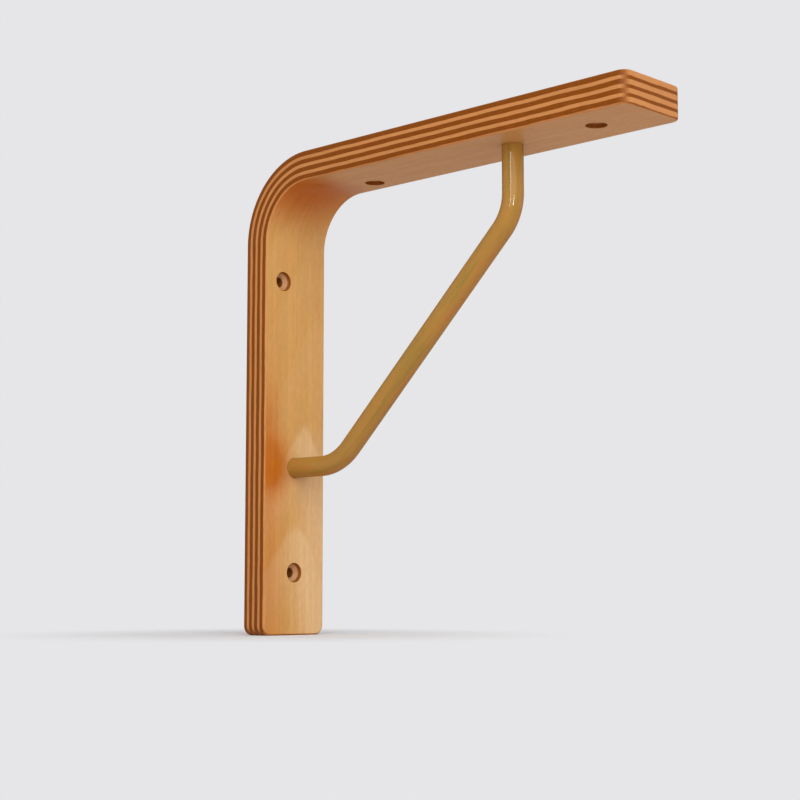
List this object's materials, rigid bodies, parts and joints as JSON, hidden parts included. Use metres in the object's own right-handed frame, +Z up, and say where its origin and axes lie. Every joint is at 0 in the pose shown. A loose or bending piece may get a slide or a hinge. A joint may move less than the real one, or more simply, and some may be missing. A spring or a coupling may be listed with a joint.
{
  "type": "shelf bracket",
  "caption": "Moulded plywood shelf bracket: a flat strip bent to a rounded right angle, with sunk screw holes and a slanting round metal strut in blind sockets.",
  "frame": {"origin": "centre of the flat part of the leg's wall face", "axes": "+X out of the wall along the arm, +Y across the strip, +Z up towards the shelf"},
  "size_m": [0.2, 0.034, 0.2],
  "materials": {
    "face_birch": "satin lacquer on sliced birch",
    "long_birch": "satin lacquer on the long grain of birch",
    "cross_birch": "satin lacquer on the end grain of birch",
    "lacquered_rod": "glossy brass-coloured lacquer"
  },
  "bodies": {
    "root": {"wall_face_veneer": "face_birch", "core_veneer_1": "cross_birch", "core_veneer_2": "long_birch", "core_veneer_3": "cross_birch", "core_veneer_4": "long_birch", "core_veneer_5": "cross_birch", "core_veneer_6": "long_birch", "core_veneer_7": "cross_birch", "room_face_veneer": "face_birch", "strut": "lacquered_rod"}
  },
  "joints": []
}
